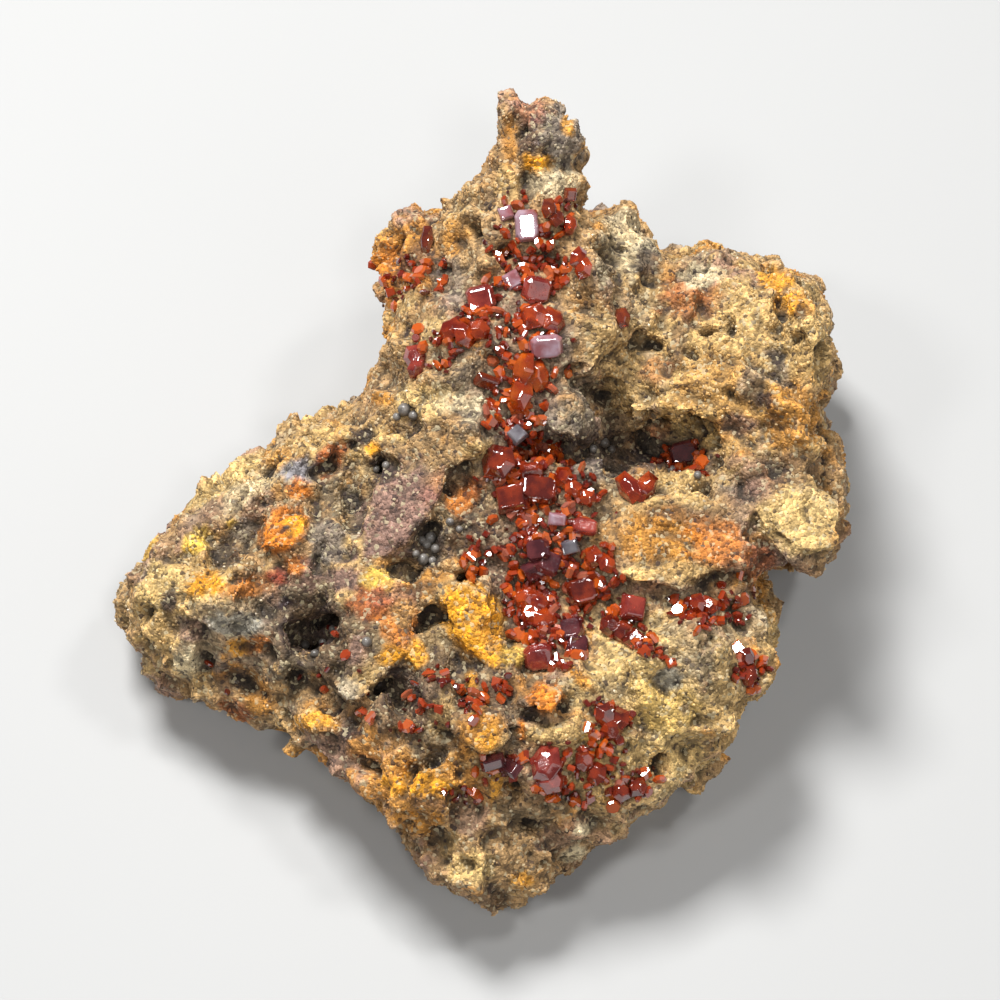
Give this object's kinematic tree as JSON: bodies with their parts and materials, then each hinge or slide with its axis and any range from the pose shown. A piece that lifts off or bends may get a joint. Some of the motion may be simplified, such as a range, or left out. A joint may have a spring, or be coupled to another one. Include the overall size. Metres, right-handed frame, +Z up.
{
  "type": "wulfenite on matrix",
  "caption": "Hand specimen of vuggy iron-stained rock with a flat underside, bearing orange-red wulfenite tablets on its display side.",
  "frame": {"origin": "middle of the specimen's bounding box, on the flat underside it rests on", "axes": "+Z up, +Y towards the horn at the back, +X to the right seen from the display side"},
  "size_m": [0.088, 0.0948, 0.0474],
  "materials": {
    "tan_rock": "granular iron-stained rock",
    "orange_red": "glassy translucent orange-red",
    "bright_orange": "glassy translucent bright orange",
    "deep_red": "glassy translucent deep red",
    "pink_red": "glassy translucent pink-red",
    "red_brown": "glassy translucent red-brown",
    "purple_brown": "glassy translucent purple-brown",
    "lavender": "glassy translucent pale lavender",
    "grey": "glassy translucent grey"
  },
  "bodies": {
    "root": {"matrix": "tan_rock", "lavender_tablet": "lavender", "bluish_tablet": "lavender", "horn_brown_group": "red_brown", "horn_orange_lens": "orange_red", "horn_edge_crystal": "red_brown", "waist_orange_pair": "orange_red", "round_pink_disc": "pink_red", "pale_tablet": "lavender", "pink_flat_tablet": "pink_red", "red_blades": "orange_red", "left_pink_disc": "pink_red", "big_red_lens": "orange_red", "pink_tablet": "lavender", "orange_lenses": "bright_orange", "glinting_blade": "red_brown", "small_red_knob": "orange_red", "dark_silver_crystal": "grey", "big_dark_disc": "deep_red", "grey_topped_block": "deep_red", "orange_knob_ridge": "orange_red", "bluish_face": "lavender", "heart_twin": "orange_red", "small_heart_neighbour": "red_brown", "mauve_red_crystal": "pink_red", "metallic_grey_crystal": "grey", "red_ridge": "orange_red", "brown_purple_group": "purple_brown", "red_block_mid": "deep_red", "boxy_red_tablet": "pink_red", "red_vein": "deep_red", "orange_druse_group": "orange_red", "right_red_patch": "deep_red", "blade_field": "orange_red", "purple_group": "purple_brown", "white_faced_block": "pink_red", "granular_red_group": "deep_red", "front_lens_group": "pink_red", "front_dark_blades": "purple_brown", "front_red_group": "deep_red", "edge_red_row": "deep_red", "knob_blade": "red_brown", "pit_crystal": "red_brown", "deep_crystal": "purple_brown"}
  },
  "joints": []
}
